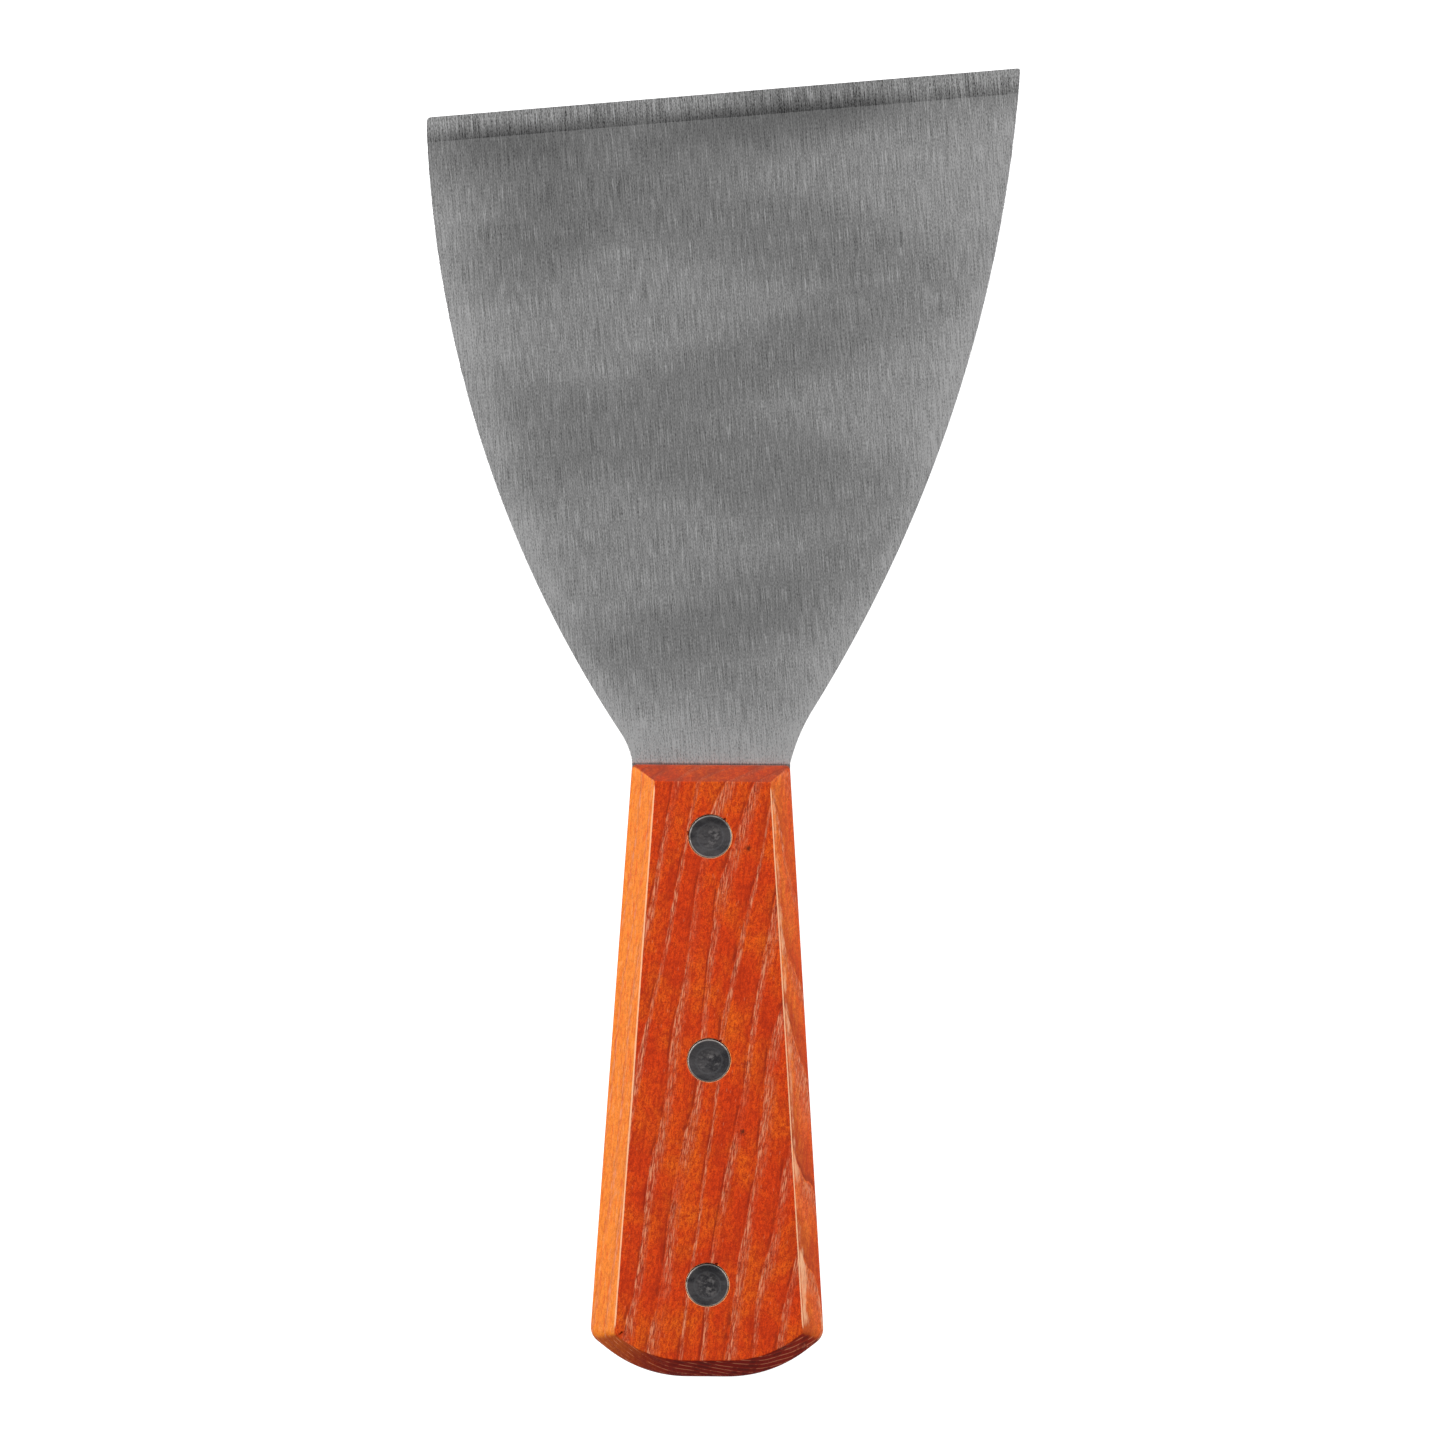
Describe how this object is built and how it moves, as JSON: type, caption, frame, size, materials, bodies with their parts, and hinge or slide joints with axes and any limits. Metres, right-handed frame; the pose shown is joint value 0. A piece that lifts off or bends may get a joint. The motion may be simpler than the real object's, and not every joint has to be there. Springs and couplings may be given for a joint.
{
  "type": "putty knife",
  "caption": "Flexible putty knife with a flared, slant-edged steel blade and a full tang riveted between chamfered wooden scales.",
  "frame": {"origin": "under the middle of the knife's outline, on the outer face of the back scale, which it lies on", "axes": "+X across the blade, +Y from the butt towards the working edge, +Z from the back scale to the front scale"},
  "size_m": [0.1012, 0.2226, 0.0175],
  "materials": {
    "blade_steel": "brushed lengthwise, satin",
    "stained_wood": "open-grained ash stained red-orange, thin satin varnish",
    "rivet_steel": "blackened, satin"
  },
  "bodies": {
    "root": {"blade": "blade_steel", "front_scale": "stained_wood", "back_scale": "stained_wood", "neck_rivet_barrel": "rivet_steel", "neck_rivet_pin": "rivet_steel", "middle_rivet_barrel": "rivet_steel", "middle_rivet_pin": "rivet_steel", "butt_rivet_barrel": "rivet_steel", "butt_rivet_pin": "rivet_steel"}
  },
  "joints": []
}
